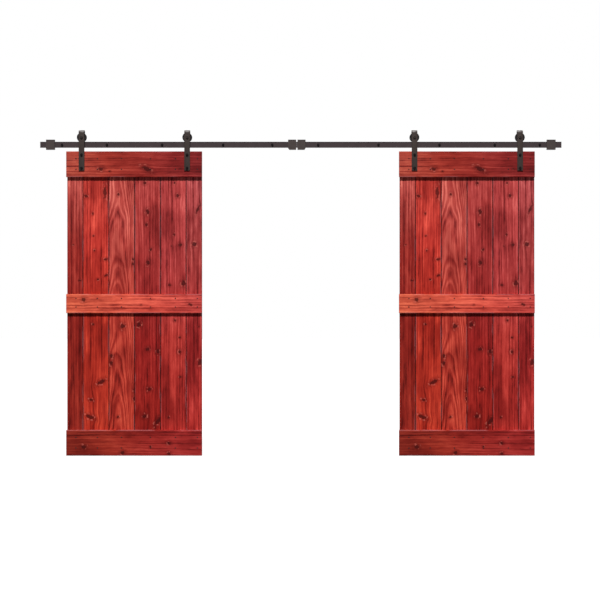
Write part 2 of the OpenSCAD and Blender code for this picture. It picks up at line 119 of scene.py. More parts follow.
class StageSettings(bpy.types.PropertyGroup):
    floor: FloatVectorProperty(
        name="Floor", description="Colour of the floor",
        subtype="COLOR", size=4, default=linear("#484848"), min=0, max=1)
    floor_gap: FloatProperty(
        name="Floor gap", description="Height of the doors' lower edges above the floor",
        default=12 * MM, min=2 * MM, max=50 * MM, unit="LENGTH")
    floor_glow: FloatProperty(
        name="Floor glow", description="How far the floor is washed out by its own light",
        default=0.92, min=0, max=1)
    back_power: FloatProperty(
        name="Back lights", description="Strength of the two lights behind the doors",
        default=2.0, min=0, max=10)
    key_power: FloatProperty(
        name="Key light", description="Strength of the main light from above",
        default=5.6, min=0, max=10)
    fill: FloatProperty(
        name="Fill light", description="Strength of the light from all round",
        default=0.09, min=0, max=3)
    distance: FloatProperty(
        name="Camera distance", description="Distance of the camera from the doors' fronts",
        default=9.93, min=5, max=30, unit="LENGTH")


# ---------------------------------------------------------------- node and mesh helpers

TOUCH, NEAR = 0.05 * MM, 0.1 * MM           # how close two places are to count as one
# The Mix node's sockets for colours, and its colour output
SHARE, UNDER, OVER, MIXED = 0, 6, 7, 2
EASED = {"interpolation_type": "SMOOTHSTEP"}
BLEND = {"data_type": "RGBA"}
DARKEN = {"data_type": "RGBA", "blend_type": "MULTIPLY"}


def add(tree, kind, *values, sockets=None, stops=(), **fields):
    """Adds a node with its fields, its sockets in order or by key, and a ramp's stops, and gives its outputs.

    A socket that is given another node's output is linked to it.
    """
    node = tree.nodes.new(kind if kind.startswith("Node") else f"ShaderNode{kind}")
    for field, value in fields.items():
        setattr(node, field, value)
    for key, value in [*enumerate(values), *(sockets or {}).items()]:
        if isinstance(value, bpy.types.NodeSocket):
            tree.links.new(value, node.inputs[key])
        else:
            node.inputs[key].default_value = value
    for index, (place, colour) in enumerate(stops):
        elements = node.color_ramp.elements
        element = elements[index] if index < 2 else elements.new(place)
        element.position, element.color = place, colour
    return node.outputs


def new_material(name):
    """An empty node material and its tree."""
    material = bpy.data.materials.new(name)
    material.use_nodes = True
    material.node_tree.nodes.clear()
    return material, material.node_tree


def deselect():
    if bpy.context.object and bpy.context.object.mode != "OBJECT":
        bpy.ops.object.mode_set(mode="OBJECT")
    bpy.ops.object.select_all(action="DESELECT")


def take(piece):
    """Makes a piece the only one selected."""
    deselect()
    bpy.context.view_layer.objects.active = piece
    piece.select_set(True)


def start_box(name, low, high):
    """A box primitive at its place and size, with both put into its mesh."""
    deselect()
    bpy.ops.mesh.primitive_cube_add(size=1, location=(low + high) / 2, scale=high - low)
    piece = bpy.context.object
    piece.name = piece.data.name = name
    bpy.ops.object.transform_apply(location=True, rotation=True, scale=True)
    return piece


def pick(piece, kind, test):
    """In edit mode, selects the faces, edges or vertices that pass a test, and nothing else."""
    bpy.ops.mesh.select_mode(type={"faces": "FACE", "edges": "EDGE", "verts": "VERT"}[kind])
    mesh = bmesh.from_edit_mesh(piece.data)
    for part in (mesh.verts, mesh.edges, mesh.faces):
        for element in part:
            element.select = False
    for element in getattr(mesh, kind):
        if test(element):
            element.select_set(True)
    bmesh.update_edit_mesh(piece.data)


def middle(element):
    return sum((v.co for v in element.verts), Vector()) / len(element.verts)


def lies_along(edge, axis):
    """Whether an edge runs along X, Y or Z (0, 1 or 2)."""
    run = edge.verts[1].co - edge.verts[0].co
    return abs(run[axis]) > 0.99 * run.length


def cut(axis, place):
    """In edit mode, cuts the whole mesh by a plane across an axis."""
    bpy.ops.mesh.select_all(action="SELECT")
    at, normal = [0, 0, 0], [0, 0, 0]
    at[axis], normal[axis] = place, 1
    bpy.ops.mesh.bisect(plane_co=at, plane_no=normal)


def apply_modifier(piece, kind, **fields):
    """Adds a modifier with its settings and applies it."""
    take(piece)
    modifier = piece.modifiers.new(kind.title(), kind)
    for field, value in fields.items():
        setattr(modifier, field, value)
    bpy.ops.object.modifier_apply(modifier=modifier.name)


def smooth(piece, angle=35):
    take(piece)
    bpy.ops.object.shade_smooth_by_angle(angle=math.radians(angle))


def copied(piece, name, shift):
    """A copy of a finished piece with its own mesh, moved along the rail."""
    take(piece)
    bpy.ops.object.duplicate(linked=False)
    twin = bpy.context.object
    twin.name = twin.data.name = name
    bpy.ops.transform.translate(value=shift)
    bpy.ops.object.transform_apply(location=True, rotation=True, scale=True)
    return twin


def finish_piece(piece, body, node, material):
    """Gives a new piece its material, hangs it on its body's empty and hides the construction node that it
    stands for.
    """
    piece.data.materials.clear()
    piece.data.materials.append(material)
    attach(piece, body)
    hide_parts(node)


def paint(names, material):
    """Gives construction nodes that stay in view a finished material."""
    for name in names:
        mesh = NODES[name].data
        mesh.materials.clear()
        mesh.materials.append(material)


# ---------------------------------------------------------------- stained pine

TONGUE_THICK, TONGUE_LONG = 6 * MM, 7 * MM
ROWS = 16                                   # rows of points between two of the first cuts across a plank
DIP_SIZE, DIP_STRETCH = 18 * MM, 7          # dips of the plane and the sander, and how much longer than wide
SINK_WIDE, SINK_NARROW, SINK_DEPTH, SINK_IN = 5.8 * MM, 1.8 * MM, 4 * MM, 1.3 * MM
SCREW_APART = 12 * MM                       # points of a screw head lie closer together than this

# Each door's wood is written in places on that door: metres from its left edge, and down from its top.
PLACE = "door_place"


def write_place(piece, origin):
    """Stores each point's place on its door, which the wood's pattern follows on both doors alike."""
    mesh = piece.data
    if PLACE in mesh.attributes:
        mesh.attributes.remove(mesh.attributes[PLACE])
    layer = mesh.attributes.new(PLACE, "FLOAT_VECTOR", "POINT")
    for vertex, value in zip(mesh.vertices, layer.data):
        value.vector = (vertex.co.x - origin.x, vertex.co.y - origin.y, DOOR_TOP - vertex.co.z)


def knot_group():
    """Bends the grain round one knot, as a stream bends round a stone, and keeps how near a knot is."""
    tree = bpy.data.node_groups.new("grain_round_knot", "ShaderNodeTree")
    node = partial(add, tree)
    for name, kind in (("Place", "Vector"), ("Centre", "Vector"), ("Radius", "Float"), ("Stretch", "Float"),
                       ("Tilt", "Float"), ("Grain", "Float"), ("Nearness", "Float")):
        tree.interface.new_socket(name, in_out="INPUT", socket_type=f"NodeSocket{kind}")
    for name in ("Grain", "Nearness"):
        tree.interface.new_socket(name, in_out="OUTPUT", socket_type="NodeSocketFloat")
    given = node("NodeGroupInput")
    away = node("VectorMath", given["Place"], given["Centre"], operation="SUBTRACT")[0]
    turned = node("VectorRotate", away, sockets={"Angle": given["Tilt"]}, rotation_type="Z_AXIS")[0]
    side, length, _ = node("SeparateXYZ", turned)
    squeezed = node("Math", length, given["Stretch"], operation="DIVIDE")[0]
    flat = node("CombineXYZ", side, squeezed)[0]
    distance = node("VectorMath", flat, operation="LENGTH")["Value"]
    radius_2 = node("Math", given["Radius"], given["Radius"], operation="MULTIPLY")[0]
    distance_2 = node("Math", distance, distance, operation="MULTIPLY")[0]
    outside = node("Math", distance_2, radius_2, operation="MAXIMUM")[0]
    share = node("Math", radius_2, outside, operation="DIVIDE")[0]
    push = node("Math", share, node("SeparateXYZ", away)[0], operation="MULTIPLY")[0]
    grain = node("Math", given["Grain"], push, operation="SUBTRACT")[0]
    radii = node("Math", distance, given["Radius"], operation="DIVIDE")[0]
    near = node("Math", given["Nearness"], radii, operation="MINIMUM")[0]
    node("NodeGroupOutput", grain, near)
    return tree


# Each pattern of the wood: cells in a metre across the grain, along it and through the board, then how many
# finer layers it has and how strong they are
WOOD_PATTERNS = {
    "wander": ((6, 1.3, 6), 1, 0.55),       # the trunk is never straight: its rings wander 10 mm in a metre
    "sway": ((9, 3.5, 9), 1, 0.55),         # the arches of a board from beside the heart lean to and fro
    "bands": ((48, 0.9, 30), 3, 0.6),       # early and late wood, 20 mm: the real 2 to 6 mm wouldn't show
    "fibres": ((120, 3.5, 80), 4, 0.7),     # bundles of fibres, some 10 mm wide and 300 mm long
    "fine": ((420, 9, 200), 2, 0.55),       # single fibres, 2 to 3 mm wide
    "mottle": ((34, 11, 30), 3, 0.6),       # where the rag pressed more or less, 30 mm by 90 mm
    "patches": ((7, 2.4, 7), 2, 0.55),      # wood that drank more, 140 mm by 400 mm
    "edge_wear_and_highlight": ((12, 7, 12), 3, 0.55),         # stretches of an edge that are paler: rubbed by hands, and painted highlight
    "ragged": ((95, 60, 60), 2, 0.55),      # the uneven rim of a knot
    "side": ((52, 40, 30), 1, 0.55),        # which side of a knot its painted highlight lies on
}
# How much of each pattern goes into the depth of the stain
STAIN_SHARES = {"bands": 0.34, "fibres": 0.36, "fine": 0.12, "mottle": 0.22}
RING_SHARE, ARCHED_RING_SHARE = 0.05, 0.12
RING_RADIANS = 330.0                        # in a metre: a ring each 19 mm, the least that shows
RING_WAVER = 9.0                            # radians that the bands push the rings to and fro
WANDER = 20 * MM
ARCH_BOW, ARCH_RISE, ARCH_SWAY = 20.0, -0.22, 0.12   # how round the arches are, how steep, and how they lean
# What the stain does to its own colour, from where it pooled to where it was rubbed off
POOLED = [(0.44, (0.32, 0.15, 0.18, 1)), (0.52, (0.84, 0.60, 0.60, 1)),
          (0.585, (1.10, 0.96, 0.92, 1)), (0.67, (1.60, 2.1, 1.9, 1))]
DRUNK = [(0.34, (0.62, 0.46, 0.48, 1)), (0.50, (1, 1, 1, 1)), (0.66, (1.16, 1.42, 1.42, 1))]
NO_KNOT = 100.0
OPEN_EDGE = 20 * MM                         # how far beyond an open edge the next joint is taken to be
ARCHED_BOARD, ARCH_SHARE, ARCH_AT = 3, 0.45, 385   # which board, how strong, and its middle in millimetres
BOARD_SEED, BATTEN_SEEDS = 3.7, (31.0, 5)   # seeds of the wood: a step for boards, first and step for battens
# Where an effect sets in and where it is full, then its least and its most. Edges are in metres, knots in
# radii of the knot, and the others in the strength of a pattern.
REACH = {
    "by_edge": (9 * MM, 3 * MM),
    "rubbed_and_highlit": (0.44, 0.60, 0.0, 0.4),
    "run_in_and_shade": (3.6 * MM, 1.2 * MM, 0.0, 0.9),
    "gather": (3.4, 0.9, 0.0, 0.5),
    "highlight_from": (1.05, 1.35),
    "highlight_to": (2.3, 1.5),
    "highlight_side": (0.52, 0.64, 0.0, 0.45),
    "core": (1.15, 0.85, 0.0, 0.86),
    "rough": (0.35, 0.75, 0.56, 0.70),
}
# Colours of the pale edges (partly wear, partly painted highlight), of the joints (partly stain, partly
# painted shade) and of the painted highlight beside knots
PALE_EDGE_WEAR_AND_HIGHLIGHT, JOINT_STAIN_AND_SHADE, KNOT_HIGHLIGHT = linear("#a8686c"), linear("#24070a"), linear("#d06a5c")
GATHERED = (0.34, 0.16, 0.18, 1)

def stained_pine(name, grain, tones, knots, seed, edges, arch=0.0, arch_at=0.0, group=None):
    """Knotty pine, planed and sanded, with a red oil stain wiped on: soft growth rings take the stain dark,
    the hard lines between them stay lighter, and knots stay darkest.

    grain is "along" for boards and "across" for battens. tones are the stain's colours, each with its place
    from 0 to 1 along the piece. knots are (across the door, down, radius, stretch, tilt) in millimetres and
    degrees. edges are where the two long edges lie, in metres across the grain. arch is the share of arched
    grain, round a line arch_at millimetres from the door's edge. group is the node group for one knot.
    """
    upright = grain == "along"
    material, tree = new_material(name)
    node = partial(add, tree)
    place = node("Attribute", attribute_name=PLACE)["Vector"]
    x, y, z = node("SeparateXYZ", place)
    across, along = (x, z) if upright else (z, x)

    def pattern(kind, aside, seeded=True):
        """One of the wood's patterns, stretched along the grain, which runs at a distance aside."""
        cells, layers, strength = WOOD_PATTERNS[kind]
        spot = node("CombineXYZ", aside, along, y)[0]
        spot = node("VectorMath", spot, cells, operation="MULTIPLY")[0]
        sockets = {"Vector": spot, "Scale": 1.0, "Detail": layers, "Roughness": strength}
        if seeded:
            sockets["W"] = seed
        return node("TexNoise", sockets=sockets, noise_dimensions="4D" if seeded else "3D")[0]

    bent = node("Math", pattern("wander", across), WANDER, across, operation="MULTIPLY_ADD")[0]
    at = node("CombineXYZ", bent, along)[0]
    line, near = bent, NO_KNOT
    for knot_x, knot_z, radius, stretch, tilt in knots:
        sideways, down = (knot_x, knot_z) if upright else (knot_z, knot_x)
        centre = (sideways * MM + WANDER / 2, down * MM, 0)
        line, near = node("Group", at, centre, radius * MM, stretch, math.radians(tilt), line, near,
                          node_tree=group)
    if arch:
        # A board from beside the heart shows nested arches, drawn by a slope along the board
        off = node("Math", across, arch_at * MM, operation="SUBTRACT")[0]
        bow = node("Math", off, off, operation="MULTIPLY")[0]
        lean = node("Math", pattern("sway", across), ARCH_SWAY, operation="MULTIPLY")[0]
        rise = node("Math", along, ARCH_RISE, lean, operation="MULTIPLY_ADD")[0]
        arched = node("Math", bow, ARCH_BOW, rise, operation="MULTIPLY_ADD")[0]
        straight = node("Math", line, 1 - arch, operation="MULTIPLY")[0]
        line = node("Math", arched, arch, straight, operation="MULTIPLY_ADD")[0]

    # Rings make the arches, but the fibres run straight along the trunk
    layers = {kind: pattern(kind, bent if arch and kind != "bands" else line) for kind in STAIN_SHARES}
    turns = node("Math", line, RING_RADIANS, operation="MULTIPLY")[0]
    turns = node("Math", layers["bands"], RING_WAVER, turns, operation="MULTIPLY_ADD")[0]
    rings = node("Math", node("Math", turns, operation="SINE")[0], 0.5, 0.5, operation="MULTIPLY_ADD")[0]
    shade = node("Math", rings, ARCHED_RING_SHARE if arch else RING_SHARE, operation="MULTIPLY")[0]
    for kind, share in STAIN_SHARES.items():
        shade = node("Math", layers[kind], share, shade, operation="MULTIPLY_ADD")[0]
    length = (DOOR_TOP - DOOR_BOTTOM) if upright else BATTEN_BOXES["top"][1].x - BATTEN_BOXES["top"][0].x
    part = node("Math", along, length, operation="DIVIDE")[0]
    tone = node("ValToRGB", part, stops=[(p, linear(c)) for p, c in tones])[0]
    pooled = node("ValToRGB", shade, stops=POOLED)[0]
    colour = node("Mix", sockets={SHARE: 1.0, UNDER: tone, OVER: pooled}, **DARKEN)[MIXED]
    drunk = node("ValToRGB", pattern("patches", across), stops=DRUNK)[0]
    colour = node("Mix", sockets={SHARE: 1.0, UNDER: colour, OVER: drunk}, **DARKEN)[MIXED]

    # The long edges are paler here and there, partly where handling has worn the stain and partly as a
    # painted highlight on the eased edges; in the joints the wood is dark, partly from stain that ran in and
    # partly as painted shade in the gaps
    first = node("Math", across, edges[0], operation="SUBTRACT")[0]
    second = node("Math", edges[1], across, operation="SUBTRACT")[0]
    inside = node("Math", first, second, operation="MINIMUM")[0]
    by_edge = node("MapRange", inside, *REACH["by_edge"], **EASED)[0]
    rubbed_and_highlit = node("MapRange", pattern("edge_wear_and_highlight", across), *REACH["rubbed_and_highlit"], **EASED)[0]
    patchy = node("Math", by_edge, rubbed_and_highlit, operation="MULTIPLY")[0]
    # Painted highlight and wear: the pale edge colour is mixed in along the long edges
    colour = node("Mix", sockets={SHARE: patchy, UNDER: colour, OVER: PALE_EDGE_WEAR_AND_HIGHLIGHT}, **BLEND)[MIXED]
    if upright:
        # Painted shade and pooled stain: the joint colour darkens each board's long edges
        run_in_and_shade = node("MapRange", inside, *REACH["run_in_and_shade"], **EASED)[0]
        colour = node("Mix", sockets={SHARE: run_in_and_shade, UNDER: colour, OVER: JOINT_STAIN_AND_SHADE}, **BLEND)[MIXED]

    surface = node("Math", layers["bands"], 0.4, operation="MULTIPLY")[0]
    surface = node("Math", layers["fibres"], 0.5, surface, operation="MULTIPLY_ADD")[0]
    if knots:
        # Dark wood gathers round a knot and a painted highlight, a pale crescent, lies on one side of it; the
        # knot itself is nearly black
        ragged = node("Math", pattern("ragged", across, seeded=False), 1.8, -0.9, operation="MULTIPLY_ADD")[0]
        near = node("Math", near, ragged, operation="ADD")[0]
        gather = node("MapRange", near, *REACH["gather"], **EASED)[0]
        gathered = node("Mix", sockets={SHARE: 1.0, UNDER: tone, OVER: GATHERED}, **DARKEN)[MIXED]
        colour = node("Mix", sockets={SHARE: gather, UNDER: colour, OVER: gathered}, **BLEND)[MIXED]
        # Painted highlight: a pale crescent on one side of each knot
        knot_highlight = node("Math", node("MapRange", near, *REACH["highlight_from"], **EASED)[0],
                   node("MapRange", near, *REACH["highlight_to"], **EASED)[0], operation="MULTIPLY")[0]
        lit_side = node("MapRange", pattern("side", across, seeded=False), *REACH["highlight_side"], **EASED)[0]
        knot_highlight = node("Math", knot_highlight, lit_side, operation="MULTIPLY")[0]
        colour = node("Mix", sockets={SHARE: knot_highlight, UNDER: colour, OVER: KNOT_HIGHLIGHT}, **BLEND)[MIXED]
        # The knot's own small rings
        turns = node("Math", near, 16.0, operation="MULTIPLY")[0]
        own = node("Math", node("Math", turns, operation="SINE")[0], 0.06, 0.08, operation="MULTIPLY_ADD")[0]
        knot = tuple(bpy.context.scene.barn_wood.knot)
        knot_wood = node("Mix", sockets={SHARE: own, UNDER: knot, OVER: tone}, **BLEND)[MIXED]
        core = node("MapRange", near, *REACH["core"], **EASED)[0]
        colour = node("Mix", sockets={SHARE: core, UNDER: colour, OVER: knot_wood}, **BLEND)[MIXED]
        surface = node("Math", core, 1.05, surface, operation="MULTIPLY_ADD")[0]
    rough = node("MapRange", shade, *REACH["rough"], **EASED)[0]
    bump = node("Bump", sockets={"Height": surface, "Strength": 0.35, "Distance": 0.6 * MM})[0]
    shader = node("BsdfPrincipled", sockets={"Base Color": colour, "Roughness": rough, "Normal": bump,
                                             "IOR": 1.5, "Specular IOR Level": 0.10})
    node("OutputMaterial", shader[0])
    return material


# Stain tones from top to bottom of each board
BOARD_TONES = {
    1: [(0.0, "#ba524b"), (0.16, "#aa4640"), (0.32, "#8b2722"), (0.62, "#7e1d16"), (1.0, "#912b20")],
    2: [(0.0, "#c4493e"), (0.3, "#b9382f"), (0.5, "#a92f22"), (1.0, "#a63020")],
    3: [(0.0, "#b04b45"), (0.3, "#a8403a"), (0.55, "#a2352b"), (1.0, "#9c2d21")],
    4: [(0.0, "#a43e3c"), (0.4, "#982f2e"), (0.62, "#8a1e1c"), (1.0, "#93231b")],
    5: [(0.0, "#b64c4b"), (0.35, "#b24545"), (0.6, "#a2302b"), (1.0, "#a22c27")],
    6: [(0.0, "#b05052"), (0.35, "#a54241"), (0.62, "#a63130"), (1.0, "#ae342e")],
}
# Knots, each as millimetres from the door's left edge, millimetres below its top, radius, stretch and tilt
BOARD_KNOTS = {
    1: [(88, 905, 7, 0.6, 0), (40, 655, 5, 0.7, 0)],
    2: [(131, 313, 13, 0.8, -35), (262, 288, 12, 3.2, 0), (177, 434, 5, 1.6, 0), (182, 591, 6, 0.8, 30),
        (190, 695, 5, 1.4, 0), (270, 756, 15, 0.5, 8), (274, 869, 13, 0.5, 25), (214, 897, 8, 0.7, 0),
        (181, 1212, 8, 0.7, -30), (238, 1617, 12, 2.4, -60), (168, 1743, 13, 0.6, -15),
        (160, 1863, 12, 2.4, 65)],
    3: [(359, 301, 8, 1.2, 0), (463, 756, 7, 1.3, 0), (463, 788, 7, 1.3, 0), (386, 1226, 14, 1.1, -15),
        (309, 1437, 9, 1.5, 0), (309, 1487, 9, 1.4, 0), (470, 1673, 9, 1.6, 0), (470, 1735, 9, 1.6, 0),
        (358, 1863, 9, 0.8, 40)],
    4: [(546, 221, 10, 1.0, 0), (566, 422, 12, 1.3, 0), (556, 512, 7, 1.5, 0), (588, 687, 6, 1.8, -20),
        (570, 780, 11, 1.5, 0), (503, 1214, 13, 1.1, -20), (565, 1386, 13, 0.9, 20), (636, 1404, 11, 1.3, 0),
        (578, 1669, 13, 0.9, 20), (546, 1859, 13, 1.0, 10), (639, 1888, 11, 2.8, -38)],
    5: [(757, 221, 6, 1.2, 0), (777, 309, 10, 1.0, -30), (749, 583, 6, 1.2, 0), (793, 655, 11, 0.9, 20),
        (731, 663, 4, 1.0, 0), (713, 937, 9, 0.8, -20), (812, 925, 13, 1.3, 0), (756, 1185, 9, 0.9, 0),
        (789, 1305, 6, 1.0, 0), (789, 1406, 9, 1.2, 0), (795, 1582, 8, 0.8, 0), (710, 1867, 7, 1.2, 0)],
    6: [(918, 406, 9, 3.2, -25), (892, 651, 15, 0.9, 0), (922, 1229, 5, 1.0, 0), (933, 1479, 15, 1.4, -20),
        (836, 1743, 5, 1.2, 0)],
}
# Stain tones from left to right of each batten, and its knots
BATTENS = {
    "top": ([(0.0, "#a84a3c"), (0.3, "#993429"), (0.6, "#8a2924"), (1.0, "#7c2426")],
            [(238, 124, 10, 1.6, 0), (560, 124, 13, 2.2, 30), (300, 140, 4, 1.5, 0), (795, 122, 5, 1.5, 0)]),
    "middle": ([(0.0, "#c85d44"), (0.3, "#d9654e"), (0.6, "#d25848"), (1.0, "#c14d48")],
               [(118, 1040, 13, 1.0, 0), (863, 1073, 8, 1.8, 20), (520, 1075, 4, 1.4, 0)]),
    "bottom": ([(0.0, "#7c261b"), (0.3, "#8f2c20"), (0.6, "#902823"), (1.0, "#9a2d2c")],
               [(118, 2074, 12, 1.2, 0), (391, 2114, 11, 1.2, 0), (586, 2070, 5, 1.3, 0),
                (714, 2045, 8, 1.4, 0), (714, 2118, 9, 1.0, 0)]),
}


def plank(name, low, high, length_axis, joints=None):
    """A planed board: its long edges eased and its broad faces divided finely.

    joints is None, or whether the left edge has a groove and the right edge a tongue.
    """
    wood = bpy.context.scene.barn_wood
    across_axis = 2 - length_axis
    piece = start_box(name, low, high)
    bpy.ops.object.mode_set(mode="EDIT")
    pick(piece, "edges", lambda e: lies_along(e, length_axis))
    bpy.ops.mesh.bevel(offset=wood.edge, segments=2, profile=0.6)
    if joints:
        mid = (low.y + high.y) / 2
        for y in (mid - TONGUE_THICK / 2, mid + TONGUE_THICK / 2):
            cut(1, y)
        for wanted, x in zip(joints, (low.x, high.x)):
            if wanted:
                pick(piece, "faces", lambda f: abs(middle(f).x - x) < NEAR
                     and abs(middle(f).y - mid) < TONGUE_THICK / 2)
                bpy.ops.mesh.extrude_region_move(TRANSFORM_OT_translate={"value": (TONGUE_LONG, 0, 0)})
    # Divide the faces: lengthwise first, then across the broad faces only
    long_side, broad_side = (high - low)[length_axis], (high - low)[across_axis]
    pieces_long = max(1, round(long_side / wood.step / ROWS))
    pick(piece, "edges", lambda e: lies_along(e, length_axis) and e.calc_length() > 0.9 * long_side)
    bpy.ops.mesh.subdivide(number_cuts=pieces_long - 1)
    pick(piece, "edges", lambda e: lies_along(e, length_axis) and e.calc_length() > 2 * wood.step)
    bpy.ops.mesh.subdivide(number_cuts=ROWS - 1)
    flat = broad_side - 2 * wood.edge
    pick(piece, "edges", lambda e: lies_along(e, across_axis) and e.calc_length() > 0.8 * flat)
    bpy.ops.mesh.subdivide(number_cuts=max(1, round(broad_side / wood.step) - 1))
    bpy.ops.object.mode_set(mode="OBJECT")
    return piece


def dip(piece, low, high, length_axis, seed):
    """Presses shallow dips into a plank's broad faces, long along the grain."""
    wood = bpy.context.scene.barn_wood
    group = piece.vertex_groups.new(name="faces")
    inner = [v.index for v in piece.data.vertices
             if min(abs(v.co.y - low.y), abs(v.co.y - high.y)) < TOUCH
             and all(low[a] + 2 * wood.edge < v.co[a] < high[a] - 2 * wood.edge for a in (0, 2))]
    group.add(inner, 1.0, "REPLACE")
    texture = bpy.data.textures.new("dips", "CLOUDS")
    texture.noise_scale = DIP_SIZE
    texture.noise_depth = 2
    grain_space = bpy.data.objects.new("grain_space", None)
    bpy.context.scene.collection.objects.link(grain_space)
    grain_space.location = (seed * 0.37, 0, seed * 0.11)
    grain_space.scale = (1, 1, DIP_STRETCH) if length_axis == 2 else (DIP_STRETCH, 1, 1)
    bpy.context.view_layer.update()
    apply_modifier(piece, "DISPLACE", texture=texture, texture_coords="OBJECT",
                   texture_coords_object=grain_space, direction="NORMAL", mid_level=1.0,
                   strength=wood.relief, vertex_group="faces")
    bpy.data.objects.remove(grain_space)
    bpy.data.textures.remove(texture)
    piece.vertex_groups.clear()


class BARN_OT_boards(bpy.types.Operator):
    """Models and stains the six tongued and grooved boards of each door"""
    bl_idname = "barn.boards"
    bl_label = "Boards"

    def execute(self, context):
        group = knot_group()
        wood = context.scene.barn_wood
        for i in range(1, 7):
            low, high = BOARD_BOXES[i]
            # The tongue reaches past the board's own face, so the next board's edge gives the width
            shoulder = BOARD_BOXES[i + 1][0].x - wood.joint / 2 if i < 6 else high.x
            low = low + Vector((wood.joint / 2 if i > 1 else 0, 0, 0))
            high = Vector((shoulder, high.y, high.z))
            piece = plank(f"left_pine_board_{i}", low, high, 2, (i > 1, i < 6))
            dip(piece, low, high, 2, i)
            smooth(piece)
            arch = ARCH_SHARE if i == ARCHED_BOARD else 0.0
            # The door's two outer edges are no joints, so no stain has pooled and no painted shade lies along
            # them
            first = low.x - DOOR_LOW["left"].x - (OPEN_EDGE if i == 1 else 0)
            last = high.x - DOOR_LOW["left"].x + (OPEN_EDGE if i == 6 else 0)
            material = stained_pine(f"stained_pine_board_{i}", "along", BOARD_TONES[i], BOARD_KNOTS[i],
                                    BOARD_SEED * i, (first, last), arch, ARCH_AT, group)
            twin = copied(piece, f"right_pine_board_{i}", DOOR_SHIFT)
            for side, board in zip(SIDES, (piece, twin)):
                write_place(board, DOOR_LOW[side])
                finish_piece(board, f"{side}_door", f"{side}_board_{i}", material)
        return {"FINISHED"}


def sink_screw_holes(piece, low, high):
    """Cuts a countersink round each screw head that sits in a batten's front."""
    heads = NODES["left_batten_screws"].data
    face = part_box("left_batten_screws")[0].y
    front = low.y
    centres = []
    for vertex in heads.vertices:
        if abs(vertex.co.y - face) > TOUCH or not low.z < vertex.co.z < high.z:
            continue
        near = [c for c in centres if (c[0] - Vector((vertex.co.x, vertex.co.z))).length < SCREW_APART]
        if near:
            near[0][1].append(vertex.co)
        else:
            centres.append((Vector((vertex.co.x, vertex.co.z)), [vertex.co]))
    cutters = []
    for _, points in centres:
        xs, zs = [p.x for p in points], [p.z for p in points]
        deselect()
        bpy.ops.mesh.primitive_cone_add(
            vertices=24, radius1=SINK_WIDE, radius2=SINK_NARROW, depth=SINK_DEPTH,
            location=((min(xs) + max(xs)) / 2, front + SINK_IN, (min(zs) + max(zs)) / 2),
            rotation=(-math.pi / 2, 0, 0))
        cutters.append(bpy.context.object)
    deselect()
    for cutter in cutters:
        cutter.select_set(True)
    bpy.context.view_layer.objects.active = cutters[0]
    bpy.ops.object.join()
    joined = bpy.context.object
    apply_modifier(piece, "BOOLEAN", operation="DIFFERENCE", solver="EXACT", object=joined)
    bpy.data.objects.remove(joined)


class BARN_OT_battens(bpy.types.Operator):
    """Models and stains the three battens across each door"""
    bl_idname = "barn.battens"
    bl_label = "Battens"

    def execute(self, context):
        group = bpy.data.node_groups["grain_round_knot"]
        for number, (name, (tones, knots)) in enumerate(BATTENS.items()):
            low, high = BATTEN_BOXES[name]
            piece = plank(f"left_pine_{name}_batten", low, high, 0)
            dip(piece, low, high, 0, 20 + number)
            sink_screw_holes(piece, low, high)
            smooth(piece)
            seed = BATTEN_SEEDS[0] + BATTEN_SEEDS[1] * number
            material = stained_pine(f"stained_pine_{name}_batten", "across", tones, knots, seed,
                                    (DOOR_TOP - high.z, DOOR_TOP - low.z), group=group)
            twin = copied(piece, f"right_pine_{name}_batten", DOOR_SHIFT)
            for side, batten in zip(SIDES, (piece, twin)):
                write_place(batten, DOOR_LOW[side])
                finish_piece(batten, f"{side}_door", f"{side}_{name}_batten", material)
        return {"FINISHED"}


# ---------------------------------------------------------------- coated and oxidised steel

STRAP_THICK = 5 * MM

def powder_coat(name, colour, top_shade=0.0, edge_top=0.0):
    """Mild steel with a fine-textured powder coat, baked on: a matt, slightly pebbled skin, a little paler
    where it is thin.
    The third argument paints shade: it darkens a band under the edge whose height is edge_top."""
    material, tree = new_material(name)
    node = partial(add, tree)
    at = node("TexCoord")["Object"]
    # Pebbles of the coat are 0.7 mm across, and its cloudiness is 40 mm
    pebbles = node("TexNoise", sockets={"Vector": at, "Scale": 1400, "Detail": 2, "Roughness": 0.55})[0]
    clouds = node("TexNoise", sockets={"Vector": at, "Scale": 24, "Detail": 3, "Roughness": 0.55})[0]
    dark, pale, top_shade_tone = ([c * share for c in colour[:3]] + [1] for share in (0.92, 1.10, 0.35))
    skin = node("ValToRGB", clouds, stops=[(0.35, dark), (0.5, tuple(colour)), (0.68, pale)])[0]
    # Painted shade: a darker band of coat just under the top edge
    if top_shade:
        height = node("SeparateXYZ", at)["Z"]
        top = node("MapRange", height, edge_top - 10 * MM, edge_top - 3 * MM, 0.0, top_shade, **EASED)[0]
        skin = node("Mix", sockets={SHARE: top, UNDER: skin, OVER: top_shade_tone}, **BLEND)[MIXED]
    rough = node("MapRange", pebbles, 0.3, 0.7, 0.42, 0.55, **EASED)[0]
    bump = node("Bump", sockets={"Height": pebbles, "Strength": 0.25, "Distance": 0.1 * MM})[0]
    shader = node("BsdfPrincipled", sockets={"Base Color": skin, "Roughness": rough, "Normal": bump,
                                             "IOR": 1.5})
    node("OutputMaterial", shader[0])
    return material


def bare_or_oxidised(name, low, high, cells, roughness, metallic):
    """Steel whose surface is a film or a ground finish: two shades mixed in grains of 1 m / cells."""
    material, tree = new_material(name)
    node = partial(add, tree)
    grains = node("TexNoise", sockets={"Vector": node("TexCoord")["Object"], "Scale": cells, "Detail": 4,
                                       "Roughness": 0.55})[0]
    shade = node("ValToRGB", grains, stops=[(0.35, low), (0.72, high)])[0]
    rough = node("MapRange", grains, 0.3, 0.7, *roughness, **EASED)[0]
    shader = node("BsdfPrincipled", sockets={"Base Color": shade, "Roughness": rough, "Metallic": metallic})
    node("OutputMaterial", shader[0])
    return material


